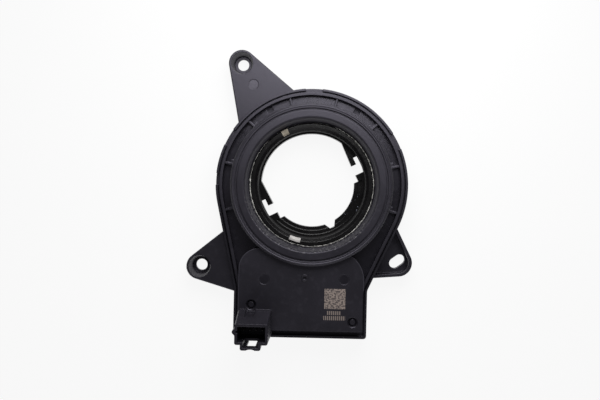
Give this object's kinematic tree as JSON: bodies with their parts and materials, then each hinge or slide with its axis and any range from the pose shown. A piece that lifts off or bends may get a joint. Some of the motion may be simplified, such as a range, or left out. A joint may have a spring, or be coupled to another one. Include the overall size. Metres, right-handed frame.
{
  "type": "steering angle sensor",
  "caption": "Flat ring-shaped steering angle sensor: a box and socket below, a notched rotor in the ring, and three fixing ears.",
  "frame": {"origin": "on the steering axis, in the plane of the rear face that the sensor is mounted on", "axes": "+Z along the steering axis out of the front face, +Y away from the socket, +X to the side of the slotted ear"},
  "size_m": [0.0974, 0.1239, 0.032],
  "materials": {
    "housing_plastic": "fine spark-eroded texture, satin",
    "cover_plastic": "fine spark-eroded texture, satin",
    "rotor_plastic": "smooth, lightly greased",
    "pad": "dull",
    "gear_plastic": "natural acetal",
    "magnet": "sintered ferrite",
    "board": "green solder mask",
    "chip": "moulded package",
    "ceramic": "fired ceramic",
    "tantalum": "moulded package",
    "steel_can": "plated can",
    "tinned_brass": "tinned"
  },
  "bodies": {
    "housing": {"rear_housing": "housing_plastic", "front_cover": "cover_plastic", "gear_retainer": "gear_plastic", "circuit_board": "board", "angle_chip_large_gear": "chip", "angle_chip_small_gear": "chip", "microcontroller": "chip", "bus_transceiver": "chip", "memory_chip": "chip", "voltage_regulator": "chip", "crystal": "steel_can", "tantalum_capacitor": "tantalum", "protection_diode": "chip", "ceramic_capacitor_1": "ceramic", "ceramic_capacitor_2": "ceramic", "ceramic_capacitor_3": "ceramic", "ceramic_capacitor_4": "ceramic", "ceramic_capacitor_5": "ceramic", "chip_resistor_1": "chip", "chip_resistor_2": "chip", "chip_resistor_3": "chip", "chip_resistor_4": "chip", "chip_resistor_5": "chip", "chip_resistor_6": "chip", "connector_pin_1": "tinned_brass", "connector_pin_2": "tinned_brass", "connector_pin_3": "tinned_brass", "connector_pin_4": "tinned_brass"},
    "rotor": {"rotor_hub": "rotor_plastic", "index_pad_upper": "pad", "index_pad_lower": "pad"},
    "large_gear": {"measuring_gear_large": "gear_plastic", "magnet_large_gear": "magnet"},
    "small_gear": {"measuring_gear_small": "gear_plastic", "magnet_small_gear": "magnet"}
  },
  "joints": [
    {"name": "rotor_turn", "type": "hinge", "parent": "housing", "child": "rotor", "pos_m": [0, 0, 0.007], "axis": [0, 0, 1], "continuous": true},
    {"name": "large_gear_turn", "type": "hinge", "parent": "housing", "child": "large_gear", "pos_m": [-0.01555, -0.03848, 0.005], "axis": [0, 0, 1], "continuous": true},
    {"name": "small_gear_turn", "type": "hinge", "parent": "housing", "child": "small_gear", "pos_m": [0.0081, -0.04019, 0.005], "axis": [0, 0, 1], "continuous": true}
  ],
  "couplings": [
    {"joint": "large_gear_turn", "follows": "rotor_turn", "ratio": -2.9524},
    {"joint": "small_gear_turn", "follows": "rotor_turn", "ratio": -3.1}
  ]
}
